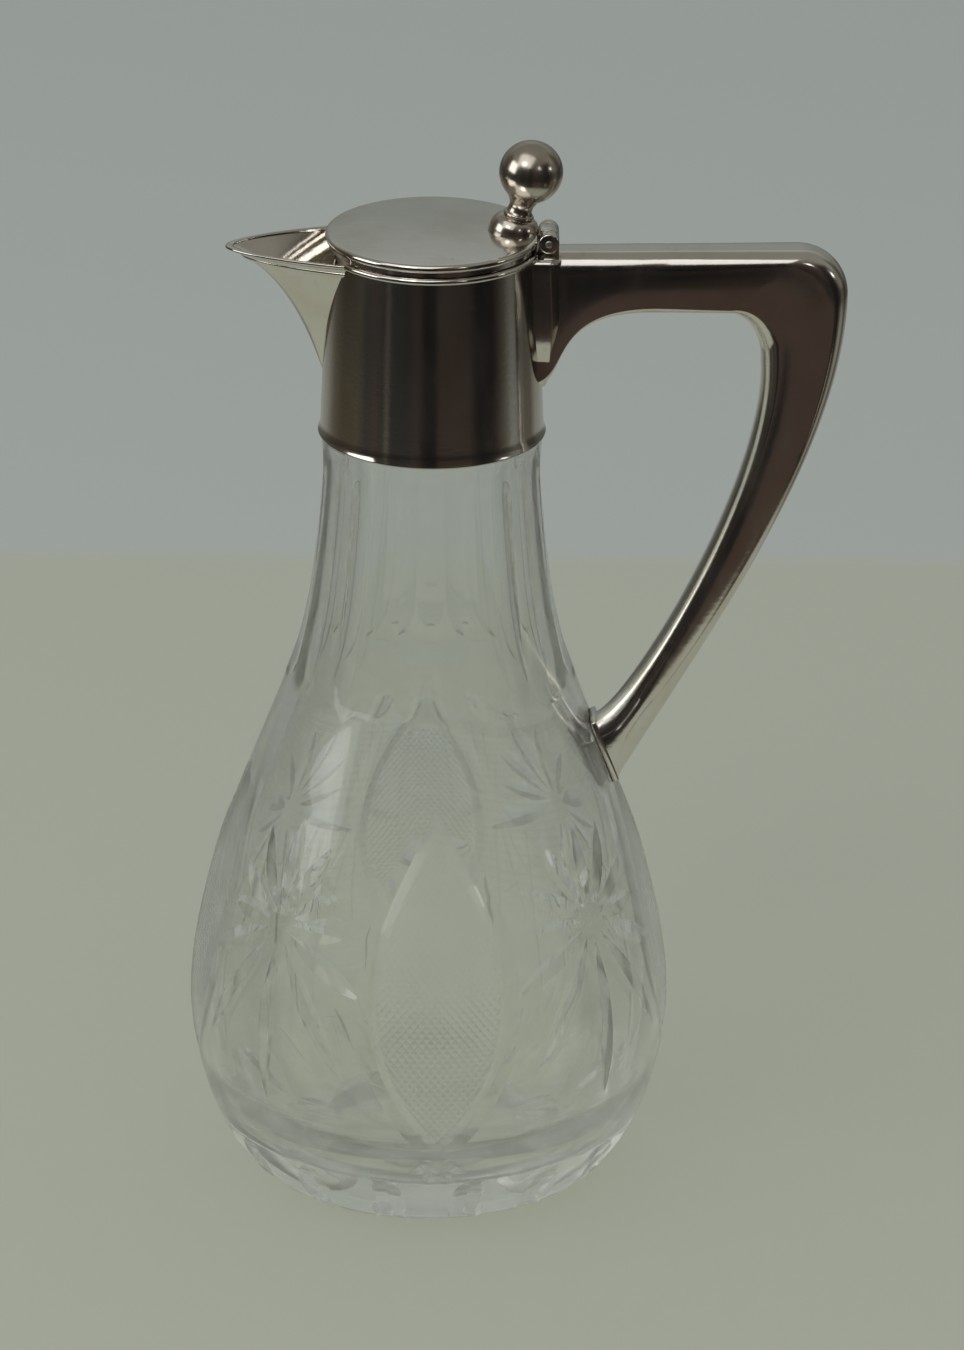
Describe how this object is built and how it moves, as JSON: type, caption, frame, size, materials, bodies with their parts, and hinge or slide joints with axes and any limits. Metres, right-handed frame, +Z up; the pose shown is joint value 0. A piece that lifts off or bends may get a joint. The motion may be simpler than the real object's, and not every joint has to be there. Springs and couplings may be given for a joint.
{
  "type": "claret jug",
  "caption": "Cut-glass claret jug with a pear-shaped body, fluted neck, plated collar with open beak spout, angular bar handle and flat hinged lid with ball thumbpiece.",
  "frame": {"origin": "on the jug's own vertical axis, in the plane of the ring that the glass stands on", "axes": "+Z up along the jug's axis; +X towards the handle, -X towards the spout; the hinge pin lies along Y"},
  "size_m": [0.1663, 0.124, 0.2811],
  "materials": {
    "glass": "clear cut glass",
    "plaster": "hard white plaster",
    "silver_plate": "polished silver plate",
    "cork": "thin cork"
  },
  "bodies": {
    "jug": {"glass_body": "glass", "plaster_bedding": "plaster", "deck_ring": "silver_plate", "collar_shell": "silver_plate", "collar_rim": "silver_plate", "spout_shell": "silver_plate", "spout_moulding": "silver_plate", "handle_plate": "silver_plate", "handle_body": "silver_plate", "handle_foot_plate": "silver_plate", "handle_foot_pad": "cork", "hinge_ears": "silver_plate", "hinge_pin": "silver_plate"},
    "lid": {"lid_disc": "silver_plate", "lid_bezel": "silver_plate", "lid_knuckle": "silver_plate", "thumb_foot": "silver_plate", "thumb_stem": "silver_plate", "thumb_ball": "silver_plate"}
  },
  "joints": [
    {"name": "lid_hinge", "type": "hinge", "parent": "jug", "child": "lid", "pos_m": [0.029, 0, 0.2561], "axis": [0, 1, 0], "range_deg": [0, 80]}
  ]
}
